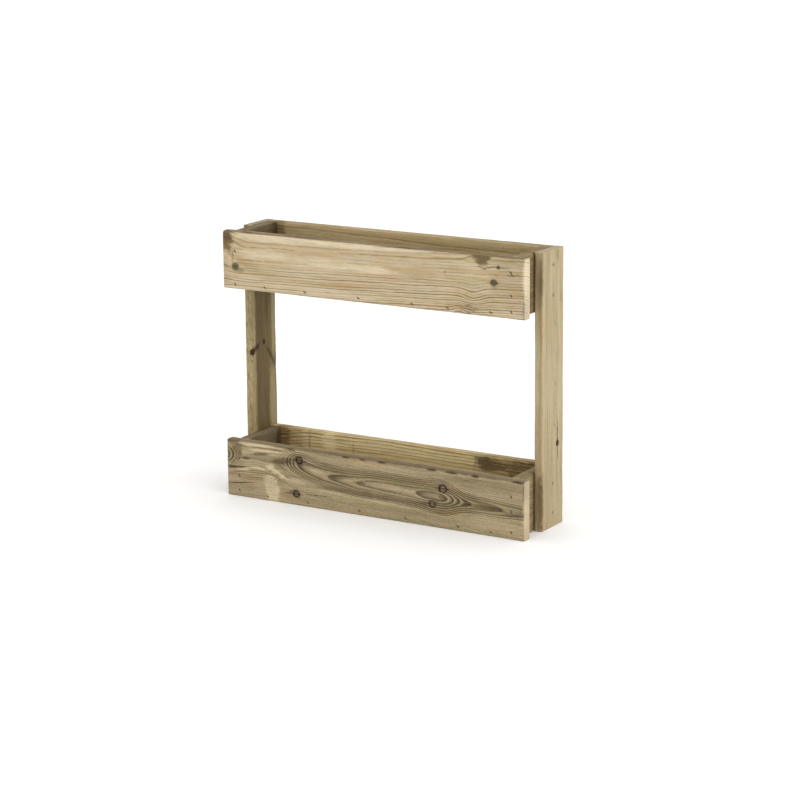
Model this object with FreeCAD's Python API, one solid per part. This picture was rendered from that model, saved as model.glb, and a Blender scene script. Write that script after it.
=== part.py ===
"""Two-tier wall planter: two plank troughs, one above the other, held between a pair of posts.

Millimetres. X runs along the planter, to the right seen from the front. Y runs from the front to the
wall side. Z is up. The origin is on the floor, under the middle of the planter.
"""

import FreeCAD, Part
import math
import os

# ---- Driving dimensions ----

# The whole planter
planter_length = 700.0
planter_height = 560.0

# Posts
post_thickness = 18.0
post_width = 90.0

# Troughs
board_thickness = 22.0  # of the front, back and end boards
board_height = 120.0
base_width = 120.0  # the trough's depth inside
base_thickness = 18.0

# Edges of every plank that run along its grain
plank_rounding = 3.0
rounding_limit = 0.4  # the most rounding, as a share of a plank's thickness

# Drain holes, in a row along the middle of each base
drain_hole_radius = 5.0
drain_hole_count = 4

# Staples, driven through the front and back boards
staple_crown = 6.0
staple_wire_width = 1.3
staple_wire_thickness = 1.1
staple_bite = 16.0  # how far the legs reach into the plank behind
staple_sink = 0.8  # how far the crown lies under the surface
end_staple_lean = 30.0  # degrees from upright, in the end boards
base_staple_lean = 60.0  # the same, along the base

# Countersunk screws, driven through the posts into the end boards
screw_radius = 2.0
screw_head_radius = 4.2
screw_head_rim = 0.4
screw_point = 5.0
screw_sink = 0.6  # how far the head lies under the surface
screw_margin = 30.0  # from a trough's top and bottom edges
screw_tip_cover = 4.0  # wood left between the screw's tip and the soil
screw_clearance = 0.1  # around the shank and above the head
cross_recess_span = 4.6
cross_recess_width = 1.1
cross_recess_depth = 1.6

# Hand-driven staples are unevenly spaced. Those in the end boards are at shares of the board's
# height, and those along the base are at shares of the base's half length, from its middle.
front_staples = {
    "upper": {
        "left": (0.08, 0.39, 0.66),
        "right": (0.12, 0.38, 0.75),
        "base": (-0.80, -0.49, -0.08, 0.32, 0.58, 0.89),
    },
    "lower": {
        "left": (0.11, 0.37, 0.69),
        "right": (0.12, 0.47, 0.72),
        "base": (-0.81, -0.49, -0.09, 0.26, 0.65, 0.89),
    },
}
back_staples = {
    "left": (0.12, 0.50, 0.88),
    "right": (0.12, 0.50, 0.88),
    "base": (-0.85, -0.51, -0.17, 0.17, 0.51, 0.85),
}

# How far a cutting shape runs past the surface that it opens
cut_overrun = 2.0

# ---- Sizes that follow ----

planter_depth = base_width + 2 * board_thickness
front_y = -planter_depth / 2
back_y = planter_depth / 2
trough_front_y = front_y + board_thickness
trough_back_y = back_y - board_thickness

outer_x = planter_length / 2
post_inner_x = outer_x - post_thickness
trough_end_x = post_inner_x - board_thickness
end_board_middle_x = post_inner_x - board_thickness / 2
post_middle_y = back_y - post_width / 2

staple_leg = board_thickness - staple_sink + staple_bite
screw_length = post_thickness + board_thickness - screw_sink - screw_tip_cover

trough_bottoms = {"upper": planter_height - board_height, "lower": 0.0}
sides = {"left": -1, "right": 1}

along_x = FreeCAD.Vector(1, 0, 0)
along_y = FreeCAD.Vector(0, 1, 0)
along_z = FreeCAD.Vector(0, 0, 1)


# ---- Planks ----


def plank(x_range, y_range, z_range, grain):
    """A plank between two corners, with the edges along its grain rounded."""
    spans = [sorted(span) for span in (x_range, y_range, z_range)]
    low = FreeCAD.Vector(*(span[0] for span in spans))
    sizes = [span[1] - span[0] for span in spans]
    block = Part.makeBox(*sizes, low)
    long_edges = []
    for edge in block.Edges:
        direction = edge.tangentAt(edge.FirstParameter)
        if abs(direction.dot(grain)) > 0.5:
            long_edges.append(edge)
    rounding = min(plank_rounding, rounding_limit * min(sizes))
    return block.makeFillet(rounding, long_edges)


def post(side):
    """One of the two uprights, flush with the back and with the ends of the front boards."""
    x_range = (side * post_inner_x, side * outer_x)
    return plank(x_range, (back_y - post_width, back_y), (0, planter_height), along_z)


def front_board(bottom):
    """The trough's front, which runs across both posts."""
    z_range = (bottom, bottom + board_height)
    return plank((-outer_x, outer_x), (front_y, trough_front_y), z_range, along_x)


def back_board(bottom):
    """The trough's back, between the posts."""
    z_range = (bottom, bottom + board_height)
    return plank((-post_inner_x, post_inner_x), (trough_back_y, back_y), z_range, along_x)


def end_board(bottom, side):
    """One end of the trough, between its front and back and against the post."""
    x_range = (side * trough_end_x, side * post_inner_x)
    z_range = (bottom, bottom + board_height)
    return plank(x_range, (trough_front_y, trough_back_y), z_range, along_y)


def base_board(bottom):
    """The trough's floor, level with the lower edges of its sides, with a row of drain holes."""
    z_range = (bottom, bottom + base_thickness)
    y_range = (trough_front_y, trough_back_y)
    board = plank((-trough_end_x, trough_end_x), y_range, z_range, along_x)
    spacing = 2 * trough_end_x / drain_hole_count
    depth = base_thickness + 2 * cut_overrun
    for index in range(drain_hole_count):
        x = -trough_end_x + (index + 0.5) * spacing
        start = FreeCAD.Vector(x, 0, bottom - cut_overrun)
        board = board.cut(Part.makeCylinder(drain_hole_radius, depth, start, along_z))
    return board


# ---- Staples ----


def staple(crown_middle, drive, lean, above=0.0):
    """A staple with its legs along drive. With above, the pocket that it sits in, open that far out."""
    angle = math.radians(lean)
    crown = FreeCAD.Vector(-math.sin(angle), 0, math.cos(angle))
    half = staple_crown / 2
    inner = half - staple_wire_width
    shoulder = staple_leg - staple_wire_width
    outline = [
        (-half, -above),
        (half, -above),
        (half, shoulder),
        (inner, staple_leg),
        (inner, staple_wire_width),
        (-inner, staple_wire_width),
        (-inner, staple_leg),
        (-half, shoulder),
    ]
    thickness = drive.cross(crown) * staple_wire_thickness
    start = crown_middle - thickness / 2
    corners = [start + crown * across + drive * deep for across, deep in outline]
    wire = Part.makePolygon(corners + corners[:1])
    return Part.Face(wire).extrude(thickness)


def staple_places(layout, bottom):
    """The two groups of staples in one long board, each a list of (x, z, lean)."""
    ends = []
    for side_name, side in sides.items():
        for share in layout[side_name]:
            height = bottom + share * board_height
            ends.append((side * end_board_middle_x, height, end_staple_lean))
    base = []
    for share in layout["base"]:
        base.append((share * trough_end_x, bottom + base_thickness / 2, base_staple_lean))
    return {"end_staples": ends, "base_staples": base}


def driven_staples(places, surface_y, drive):
    """The staples at those places in the board with that outer surface, and their pockets."""
    staples = []
    pockets = []
    for x, z, lean in places:
        crown_middle = FreeCAD.Vector(x, surface_y, z) + drive * staple_sink
        staples.append(staple(crown_middle, drive, lean))
        pockets.append(staple(crown_middle, drive, lean, staple_sink + cut_overrun))
    return staples, pockets


# ---- Screws ----


def screw_body(head_middle, drive, clearance=0.0, above=0.0):
    """A screw with no recess. With clearance and above, the hole that it sits in."""
    neck = screw_head_rim + screw_head_radius - screw_radius
    outline = [
        (0, -above),
        (screw_head_radius + clearance, -above),
        (screw_head_radius + clearance, screw_head_rim - clearance),
        (screw_radius + clearance, neck - clearance),
        (screw_radius + clearance, screw_length - screw_point),
        (0, screw_length + clearance),
    ]
    corners = [head_middle + along_z * radius + drive * deep for radius, deep in outline]
    wire = Part.makePolygon(corners + corners[:1])
    return Part.Face(wire).revolve(head_middle, drive, 360)


def cross_recess(head_middle, side):
    """The driver's cross in the head of a screw in the post on that side."""
    depth = cross_recess_depth + cut_overrun
    inner_x = -side * cross_recess_depth
    low_x = min(inner_x, inner_x + side * depth)
    bars = []
    for y_size, z_size in (
        (cross_recess_span, cross_recess_width),
        (cross_recess_width, cross_recess_span),
    ):
        corner = head_middle + FreeCAD.Vector(low_x, -y_size / 2, -z_size / 2)
        bars.append(Part.makeBox(depth, y_size, z_size, corner))
    return bars[0].fuse(bars[1])


def driven_screws(bottom, side):
    """The pair of screws through one post into one end board, and their holes."""
    drive = along_x * -side
    screws = []
    holes = []
    for height in (screw_margin, board_height - screw_margin):
        surface = FreeCAD.Vector(side * outer_x, post_middle_y, bottom + height)
        head_middle = surface + drive * screw_sink
        body = screw_body(head_middle, drive)
        screws.append(body.cut(cross_recess(head_middle, side)))
        above = screw_sink + cut_overrun
        holes.append(screw_body(head_middle, drive, screw_clearance, above))
    return screws, holes


# ---- Assembly ----


def build():
    """Every piece of the planter by name: a plank, or a group of like fasteners."""
    planks = {f"{name}_post": post(side) for name, side in sides.items()}
    fasteners = {}
    pockets = []
    for level, bottom in trough_bottoms.items():
        planks[f"{level}_front_board"] = front_board(bottom)
        planks[f"{level}_back_board"] = back_board(bottom)
        planks[f"{level}_base_board"] = base_board(bottom)
        for name, side in sides.items():
            planks[f"{level}_{name}_end_board"] = end_board(bottom, side)
            screws, holes = driven_screws(bottom, side)
            fasteners[f"{level}_{name}_post_screws"] = screws
            pockets += holes
        for face, layout, surface_y, drive in (
            ("front", front_staples[level], front_y, along_y),
            ("back", back_staples, back_y, along_y * -1),
        ):
            for group, places in staple_places(layout, bottom).items():
                staples, slots = driven_staples(places, surface_y, drive)
                fasteners[f"{level}_{face}_{group}"] = staples
                pockets += slots
    pieces = {}
    for name, solid in planks.items():
        near = [pocket for pocket in pockets if pocket.BoundBox.intersect(solid.BoundBox)]
        pieces[name] = solid.cut(near)
    for name, solids in fasteners.items():
        pieces[name] = Part.makeCompound(solids)
    return pieces


os.makedirs("parts", exist_ok=True)
for piece_name, piece in build().items():
    piece.exportStep(f"parts/{piece_name}.step")
    print(piece_name, len(piece.Solids), "solids", round(piece.Volume), "mm3", piece.isValid())
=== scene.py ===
"""Looks for the two-tier wall planter: every plank as pressure-treated pine, with worn edges, knots,
drying checks, and real slots and holes for its staples and screws.

The row frame: X along the planter, Y from its front to the wall, Z up. Lengths are millimetres,
except where a name ends in _m. A place on a plank is (along, across, depth): along its grain, as the
row frame counts it, across it from its lower or front edge, and deep under its shown face.
"""

import itertools
import math

import bmesh
import bpy
import numpy as np
from mathutils import Matrix, Vector


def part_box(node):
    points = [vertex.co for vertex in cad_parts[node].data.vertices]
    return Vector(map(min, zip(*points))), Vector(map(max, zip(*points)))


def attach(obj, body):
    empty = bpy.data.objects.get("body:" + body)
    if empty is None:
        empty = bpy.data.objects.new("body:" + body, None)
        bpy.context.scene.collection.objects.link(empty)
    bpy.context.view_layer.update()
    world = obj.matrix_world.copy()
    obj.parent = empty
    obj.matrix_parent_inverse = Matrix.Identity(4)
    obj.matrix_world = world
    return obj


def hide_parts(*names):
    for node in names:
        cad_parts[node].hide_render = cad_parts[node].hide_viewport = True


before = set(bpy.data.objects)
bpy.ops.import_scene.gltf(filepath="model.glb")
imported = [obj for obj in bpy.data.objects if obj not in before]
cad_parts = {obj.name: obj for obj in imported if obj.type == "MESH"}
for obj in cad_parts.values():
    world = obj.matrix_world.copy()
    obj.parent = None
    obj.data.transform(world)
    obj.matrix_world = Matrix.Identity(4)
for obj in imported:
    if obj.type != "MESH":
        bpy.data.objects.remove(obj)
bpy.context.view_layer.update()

MM = 0.001


def linear(red, green, blue):
    """A colour given as display values from 0 to 255, as a shader takes it."""
    channels = np.array((red, green, blue)) / 255
    low = channels / 12.92
    high = ((channels + 0.055) / 1.055) ** 2.4
    return (*np.where(channels <= 0.04045, low, high), 1.0)


# ---- What each plank looks like ----

PLAIN = {
    "knots": (), "shifts": (), "hills": (), "blots": (), "dirt": (), "checks": (), "end": (196, 178, 142),
    "wander": 1.0, "streaks": 0.2, "faintest": 0.25, "mottle": 1.0, "green": 0.5, "red": 0.4, "band": 0.55,
    "calm": (), "rim": 0.0, "heartwood": (-1000, 1.0), "pale": None, "lines": (), "away": 1.0,
}


def look(**own):
    """A plank's look, plain where it names no such thing."""
    return {**PLAIN, **own}


# Axes of a kind of plank: its grain, across it, and through it, with the side of the shown face
BOARD = (0, 2, 1, -1)
BASE = (0, 1, 2, 1)
END = (1, 2, 0, 1)
POST = (2, 1, 0, 1)

# The parts of a look:
# heart: (along, across, below, rings, spread), where the tree's heart runs under the shown face, how
#   many rings the face has there, and how much further apart than usual they lie
# pace: (distance from the heart's ridge, rings counted)
# band: the share of a ring that its dark late wood fades over
# heartwood: (rings, tone), the ring at which the heartwood ends, and how dark it is
# knots: (along, across, radius, rim, core, green), the last three from 0 to 1, and how deep one goes
#   that doesn't run through the plank
# shifts: (along, across, half length, half width, mm) where the lines are pushed across
# stains and painted light, as blots: (along, across, half length, half width, tone), lighter under 0 and
# browner over it; mostly stains and paler wood, with painted shade and painted light where a comment says
# so
# dirt: (along, across, half length, half width, strength) of grey, bark-like places
# calm: (along, across, half length, half width, strength) of places with faint rings
# rim: how brown the plank's upper edge is
# hills: (along, across, reach, rings) of rounds of rings
# checks: (along, across, length, width, depth, rise) of cracks along the grain in the shown face
# lines: (along, across, half length, half width, tone, degrees) of thin marks in the shown face, lighter
#   under 0 and browner over it, turned from the grain by so many degrees
# away: how much lighter the plank's other face is than its shown one, where the plank's colours are
# darkened as painted shade for the shown face
# wander, faintest: how far the rings stray, and how dark the faintest is beside the darkest
# streaks, mottle, green, red: how much short slanting streaks, uneven fibres, the treatment's green and
#   the wood's own red show
LOOKS = {}
LOOKS["upper_front_board"] = look(
    axes=BOARD, light=(191, 174, 145), middle=(179, 158, 121), late=(112, 90, 54), contrast=0.85,
    wander=0.6, streaks=0.05, mottle=0.75, green=0.35,
    heart=((-350, -62, 22, 0), (-100, -56, 22, 0), (350, -36, 22, 0)),
    pace=((0, 0), (60, 13), (98, 20), (130, 25), (180, 30)),
    knots=(
        (-320, 47, 8.5, 0.1, 0.9, 1.0), (283, 68, 6.2, 0.6, 0.4, 1.0), (293, 99, 3.6, 0.4, 0.7, 0.5),
        (175, 80, 2.6, 0.1, 0.3, 0.3), (228, 15, 5.0, 0.1, 0.25, 0.0),
    ),
    shifts=(
        (-350, 108, 40, 22, 20), (-345, 30, 25, 14, 6), (238, 38, 24, 26, -9), (205, 10, 14, 14, 5),
        (243, 118, 26, 14, 8),
    ),
    hills=((-348, 66, 24, 3.0),),
    blots=(
        (350, 82, 5, 34, -0.9), (350, 16, 5, 22, 0.55), (-348, 106, 25, 22, 1.8), (-344, 90, 16, 12, 0.5),
        (-335, 82, 7, 10, 0.5), (-327, 64, 2.5, 14, 0.6), (0, 119.5, 380, 1.6, 0.6),
        (-309, 40, 10, 6, 0.45), (-342, 47, 12, 4, 0.5), (-348, 20, 22, 9, 0.35), (-280, 49, 26, 7, 0.2),
        (-230, 112, 120, 8, -0.9), (-20, 113, 120, 6, -0.9), (-250, 76, 70, 12, -0.7), (0, 70, 60, 9, -0.8),
        (-110, 72, 90, 10, -0.5), (-60, 97, 250, 5, -0.15), (-60, 15, 300, 9, -0.35),
        (-330, 60, 18, 10, -0.5), (240, 96, 50, 14, -0.2), (330, 60, 60, 40, 0.22), (320, 104, 60, 22, 0.2),
        (0, 86, 330, 2, 0.25), (150, 62, 130, 2, 0.3), (225, 12, 30, 14, 0.25), (256, 115, 22, 9, 1.3),
        (258, 106, 14, 9, 0.9), (251, 97, 5, 2.2, 0.7), (261, 93.5, 9, 2.0, 0.9), (272, 96.5, 6, 2.2, 0.8),
        (282, 99, 8, 1.8, 0.8), (305, 99, 12, 1.6, 0.5), (318, 84, 12, 2.2, 0.6), (283, 58, 8, 2.0, 0.5),
    ),
    dirt=((256, 115, 18, 8, 0.8), (258, 107, 11, 7, 0.6), (-350, 118, 10, 4, 0.6), (322, 84, 12, 3, 0.35)),
    checks=((-330, 70, 22, 0.5, 3, -0.2),), end=(212, 196, 166), band=0.5, rim=0.75, pale=(213, 197, 167),
    calm=(
        (-60, 79, 300, 22, 0.9), (-120, 113, 200, 8, 0.8), (270, 80, 60, 22, 0.5),
        (130, 26, 280, 26, -0.55), (230, 24, 60, 30, -0.6),
    ),
    faintest=0.45,
    lines=(
        (-341, 106, 17, 13, 0.5, 62), (-348, 117, 12, 3, 0.5, 0), (250, 103, 10, 1.2, 0.7, -55),
        (261, 94.5, 10, 1.1, 0.8, -12), (276, 97.5, 10, 1.1, 0.7, 12), (308, 97, 14, 1.0, 0.55, -12),
        (321, 89, 11, 1.4, 0.65, -35), (-325, 72, 16, 1.1, 0.65, -80), (-340, 88, 12, 1.2, 0.5, -40),
        (225, 18, 14, 1.3, 0.6, 10), (233, 9, 12, 1.2, 0.7, -14), (211, 13, 14, 1.1, 0.5, -10),
        (242, 14, 9, 1.1, 0.55, 18), (228, 3, 8, 1.8, 0.7, 0), (205, 5, 10, 1.0, 0.5, 5),
        (-315, 46, 14, 1.1, 0.5, -20), (-344, 52, 9, 1.4, 0.6, -22), (-343, 44, 10, 1.2, 0.5, -12),
        (0, 119, 12, 1.2, 0.5, 0), (100, 118.5, 60, 1.0, 0.5, 0),
    ),
    red=0.6,
)
LOOKS["lower_front_board"] = look(
    axes=BOARD, light=(164, 148, 115), middle=(151, 134, 102), late=(77, 64, 39), contrast=0.9, wander=0.25,
    streaks=0.55, faintest=0.8,
    heart=(
        (-350, 88, 20, -3.0, 1.3), (-225, 88, 12, -2.6, 1.3), (-206, 90, 8, -1.5, 1.6),
        (-197, 90, 7, 0.1, 1.6), (-190, 90, 7, 1.1, 1.6), (-182, 90, 8, 2.0, 1.5), (-172, 89, 10, 2.6, 1.4),
        (-140, 79, 18, 2.7, 1.2), (-105, 72, 18, 3.0, 1.1), (-60, 69, 20, 3.6), (-38, 67, 20, 4.0),
        (0, 69, 20, 4.4), (60, 67, 19, 4.7), (108, 66, 9, 5.0, 1.2), (120, 65, 6, 5.6, 1.35),
        (165, 64, 5, 5.8, 1.5), (181, 62, 5, 5.0, 1.5), (193, 62, 5, 4.0, 1.45), (204, 61, 5, 3.0, 1.4),
        (227, 59, 6, 2.0, 1.25), (305, 57, 14, 1.0, 1.1), (350, 57, 18, 0.5),
    ),
    pace=(
        (0, 0), (2.1, 0.4), (5.3, 1.4), (7.9, 2.4), (10.9, 3.4), (14, 4.4), (17.3, 5.4), (24, 8), (60, 24),
    ),
    knots=(
        (-172, 96, 7.4, 1.0, 0.5, 0.0), (167, 82, 8.2, 1.0, 0.0, 0.15), (143, 48, 6.6, 0.95, 0.0, 0.1),
        (-180, 24, 7.0, 1.0, 0.3, 0.0), (163, 65, 4.0, 0.35, 0.4, 0.0),
    ),
    hills=((-372, 88, 60, 6.0),), shifts=((-275, 60, 45, 22, 8),),
    blots=(
        (-237, 20, 17, 36, -1.3), (-246, 40, 16, 16, -0.6, 30), (-240, 74, 10, 6, -1.1),
        (-228, 65, 12, 5, -1.2), (-213, 57, 10, 4, -1.0), (-280, 66, 24, 3.5, -0.9),
        (-312, 59, 20, 3, -0.7), (-262, 115, 55, 3.5, -1.1), (-255, 106, 44, 3, -1.0),
        (-255, 110.5, 42, 1.3, 0.8), (-213, 90, 26, 8, 1.0, 4), (-268, 97, 22, 4, 0.8, 6),
        (-60, 47, 110, 8, 0.28, -3), (70, 44, 90, 8, 0.18, -2), (25, 69, 62, 6.5, -0.55),
        (-63, 69, 20, 6, -0.45), (92, 66, 20, 3, -0.3), (-135, 82, 34, 6, -0.3), (205, 105, 40, 5, 0.25),
        (-20, 35, 170, 5, -0.35, -1.5), (-90, 99, 60, 4, 0.2), (-178, 52, 26, 5, -0.3, -12),
        (-260, 30, 34, 14, -0.2), (350, 104, 5, 20, 0.4), (350, 50, 5, 30, -0.6), (-327, 97, 14, 20, 0.75),
        (-330, 74, 22, 7, 0.4), (-303, 84, 13, 4, 0.8), (-330, 63, 30, 3, 0.9), (-340, 117, 22, 4, 0.9),
        (-222, 78, 22, 12, 0.45), (-165, 50, 60, 8, -0.4), (-130, 76, 22, 8, -0.35), (10, 46, 170, 7, 0.35),
        (0, 90, 170, 7, 0.25), (280, 24, 80, 16, -0.35), (0, 108, 120, 6, -0.3), (-75, 76, 30, 8, 0.35),
        (-28, 67, 14, 5, 0.4), (262, 57, 56, 5.5, 0.85), (330, 50, 40, 9, 0.35), (250, 100, 110, 12, 0.25),
        (60, 119, 420, 2.4, 0.5), (-60, 117, 9, 2.2, 1.0), (-20, 117, 7, 2.2, 1.0), (25, 117, 10, 2.2, 0.9),
        (141, 117, 12, 2.4, 1.1), (187, 117, 14, 2.6, 1.2), (240, 117, 10, 2.6, 1.2),
        (336, 117, 12, 2.6, 1.1), (-190, 116, 12, 3.5, 0.9), (110, 65, 9, 4, 0.35),
    ),
    checks=((-312, 31, 76, 1.0, 2.5, 0.11), (-130, 27, 60, 0.7, 2.5, 0.05), (330, 50, 34, 0.5, 3, 0)),
    end=(206, 185, 152), heartwood=(-1.1, 0.95), rim=0.32, pale=(194, 177, 143), band=0.95,
    calm=(
        (207, 61, 44, 30, -1.0), (150, 44, 70, 18, -0.7), (-183, 84, 26, 26, -0.7),
        (-340, 88, 16, 28, -0.9), (10, 49, 170, 9, 0.5), (-60, 98, 120, 9, 0.3),
    ),
    lines=(
        (-320, 29.5, 40, 1.7, 0.95, 8), (-128, 27.5, 46, 1.2, 0.75, 3), (-150, 31, 24, 1.0, 0.4, 6),
        (-336, 61, 20, 2.6, 0.9, 3), (-308, 65.5, 30, 1.7, 0.75, 4), (-200, 24, 13, 2.0, 0.7, 0),
        (-192, 28, 10, 3.4, 0.6, 22), (-186, 31, 8, 3.0, 0.5, 30), (-306, 84, 16, 2.4, 0.7, 3),
        (-250, 84, 70, 1.0, 0.5, 0), (-108, 96.5, 46, 1.5, 0.6, -2), (-100, 91, 50, 1.5, 0.5, -4),
        (-128, 86, 26, 1.3, 0.4, -8), (240, 78, 46, 1.4, 0.5, -4), (232, 72, 40, 1.2, 0.45, -8),
        (-262, 98.5, 14, 1.6, 0.7, 12), (-285, 95, 14, 1.2, 0.5, 5), (-199, 96, 20, 2.6, 0.55, -6),
        (-318, 110, 26, 1.6, 0.65, -9), (-268, 110.5, 30, 1.3, 0.55, 2), (-225, 111, 18, 1.3, 0.5, -5),
        (-322, 53, 30, 1.2, 0.6, 9), (-300, 57.5, 26, 1.1, 0.55, 10), (-272, 56, 34, 1.0, 0.55, 2),
        (-290, 49.5, 44, 1.1, 0.55, 6), (-285, 45, 50, 1.0, 0.45, 4), (-290, 40, 46, 0.9, 0.4, 3),
        (-240, 56, 22, 1.0, 0.5, -12), (-228, 51.5, 28, 1.1, 0.55, -12), (-225, 46.5, 28, 1.0, 0.45, -9),
        (-205, 59, 26, 1.2, 0.5, -24), (-196, 66, 20, 1.1, 0.4, -34), (-213, 75, 16, 3.0, 0.35, -30),
        (-333, 104, 16, 1.6, 0.5, -62), (-335, 74, 18, 1.8, 0.5, 55), (-318, 92, 14, 5, 0.3, 90),
        (-215, 117, 30, 1.6, 0.5, 0), (-62, 117, 11, 1.9, 0.75, 0), (-19, 117, 9, 1.9, 0.75, 0),
        (26, 117.5, 12, 1.9, 0.75, 0), (141, 117.5, 14, 2.0, 0.8, 0), (187, 117, 16, 2.0, 0.75, 0),
        (216, 117.5, 12, 1.6, 0.6, 0), (240, 117, 11, 2.2, 0.8, 0), (280, 117.5, 14, 1.6, 0.6, 0),
        (334, 117, 18, 2.4, 0.85, 0), (-268, 115.5, 44, 2.6, -0.9, 0), (-302, 113, 26, 2.2, -0.7, -8),
        (-262, 104.5, 50, 2.8, -0.85, 3), (-226, 63, 36, 2.8, -0.95, -27), (-302, 62.5, 20, 2.2, -0.8, 13),
        (-268, 66, 24, 2.6, -0.9, -4), (-245, 71, 14, 6, -0.8, -20), (-200, 53, 20, 1.6, -0.7, -18),
    ),
    red=0.75, green=0.75,
)
LOOKS["upper_back_board"] = look(
    axes=BOARD, light=(181, 162, 122), middle=(167, 147, 105), late=(109, 89, 53), contrast=0.8,
    heart=((-332, -30, 30, 0), (332, -44, 30, 0)), pace=((0, 0), (200, 36)),
    knots=((120, 60, 6, 0.7, 0.4, 0.2), (-210, 84, 4, 0.5, 0.4, 0.3)), rim=0.35, green=0.4,
    # (-305, 97) is painted shade in the corner by the left end board.
    blots=((0, 115, 420, 5, -0.5), (0, 90, 420, 8, 0.22), (-305, 97, 18, 44, 0.85), (300, 108, 60, 5, 0.2)),
)
LOOKS["lower_back_board"] = look(
    axes=BOARD, light=(222, 203, 155), middle=(205, 183, 133), late=(132, 107, 65), contrast=0.95,
    heart=((-332, 40, 34, -1.6), (-240, 46, 34, 0), (-40, 52, 30, 0), (332, 40, 30, 1)),
    pace=((0, 0), (8, 2), (120, 21)), knots=((190, 104, 7, 0.5, 0.9, 0.5), (-60, 30, 5, 0.6, 0.4, 0.3)),
    blots=(
        (196, 104, 34, 14, 0.9), (235, 96, 80, 34, 0.55), (300, 90, 60, 40, 0.5), (-290, 90, 40, 40, 0.55),
        (-238, 96, 3, 30, 0.5), (-130, 96, 1.6, 30, 0.5), (-188, 100, 20, 30, -0.9),
        # (-304, 96) is painted shade in the corner by the left end board.
        (-60, 108, 100, 12, -0.3), (-304, 96, 18, 44, 0.7), (262, 100, 36, 17, 0.45),
        (292, 96, 20, 30, 0.3),
    ),
    dirt=((184, 107, 22, 10, 1.0), (205, 97, 38, 6, 0.75), (248, 104, 44, 8, 0.5), (186, 92, 20, 4, 0.7)),
    rim=0.35, faintest=0.5, wander=0.7, band=0.62,
    lines=(
        (-238, 96, 34, 1.2, 0.35, 79), (-130, 96, 34, 0.9, 0.32, 88), (161, 102, 26, 1.6, 0.6, 86),
        (186, 109, 18, 3.6, 0.85, 4), (176, 104, 10, 3.0, 0.8, 30), (192, 101, 22, 2.8, 0.7, -8),
        (205, 108, 14, 2.4, 0.7, -20), (180, 94, 16, 2.0, 0.65, 3), (222, 105, 22, 2.0, 0.5, 0),
        (262, 103, 30, 1.5, 0.4, 0), (-300, 94, 26, 1.4, 0.5, 4), (-300, 104, 30, 1.2, 0.45, 0),
    ),
)
# The end boards' colours are darkened as painted shade: the left ones' inner faces lie deep in the troughs,
# and the right ones' outer faces in the recess between front board and post.
LOOKS["upper_left_end_board"] = look(
    axes=END, light=(117, 104, 74), middle=(105, 91, 64), late=(74, 60, 35), contrast=0.6,
    heart=((-60, 40, 26, 0), (60, 46, 30, 1)), pace=((0, 0), (110, 20)),
    # (58, 60) and (46, 100) are painted shade in the corner by the back board.
    blots=((58, 60, 14, 200, 0.9), (46, 100, 20, 24, 0.5), (0, 60, 70, 200, 0.25)),
)
LOOKS["upper_right_end_board"] = look(
    axes=END, light=(131, 112, 75), middle=(115, 95, 61), late=(81, 62, 35), contrast=0.5,
    heart=((-60, -30, 26, 0), (60, -34, 30, 1)), pace=((0, 0), (180, 34)),
    # (-9, 60) is painted shade in the gap against the post's front.
    blots=((-9, 60, 5, 400, 1.1), (-40, 20, 20, 40, 0.3)),
)
LOOKS["lower_left_end_board"] = look(
    axes=END, light=(127, 113, 85), middle=(112, 97, 70), late=(78, 64, 42), contrast=0.6,
    heart=((-60, 70, 18, 0), (60, 60, 24, 2)), pace=((0, 0), (110, 22)), knots=((8, 34, 6, 0.7, 0.5, 0.3),),
    # (57, 60) is painted shade in the corner by the back board.
    blots=((57, 60, 16, 200, 0.8), (30, 96, 26, 30, 0.3)),
)
LOOKS["lower_right_end_board"] = look(
    axes=END, light=(146, 130, 96), middle=(130, 112, 78), late=(90, 72, 44), contrast=0.7,
    heart=((-60, -20, 30, 0), (60, -20, 30, 0)), pace=((0, 0), (180, 44)),
    # (-9, 60) is painted shade in the gap against the post's front.
    blots=((-9, 60, 5, 400, 1.0), (-50, 60, 26, 60, 0.4)),
)
LOOKS["upper_base_board"] = look(
    axes=BASE, light=(185, 168, 130), middle=(170, 152, 111), late=(128, 106, 69), contrast=0.7,
    heart=((-310, 70, 24, 0), (40, 58, 16, 3), (310, 64, 24, 1)), pace=((0, 0), (10, 3), (90, 18)),
    knots=((-150, 88, 7, 0.8, 0.5, 0.3), (205, 30, 9, 0.9, 0.4, 0.2)),
)
LOOKS["lower_base_board"] = look(
    axes=BASE, light=(181, 162, 124), middle=(164, 145, 105), late=(122, 101, 66), contrast=0.7,
    heart=((-310, 150, 40, 0), (310, 160, 40, 0)), pace=((0, 0), (200, 40)),
    knots=((60, 42, 8, 0.85, 0.4, 0.2),),
)
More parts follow.
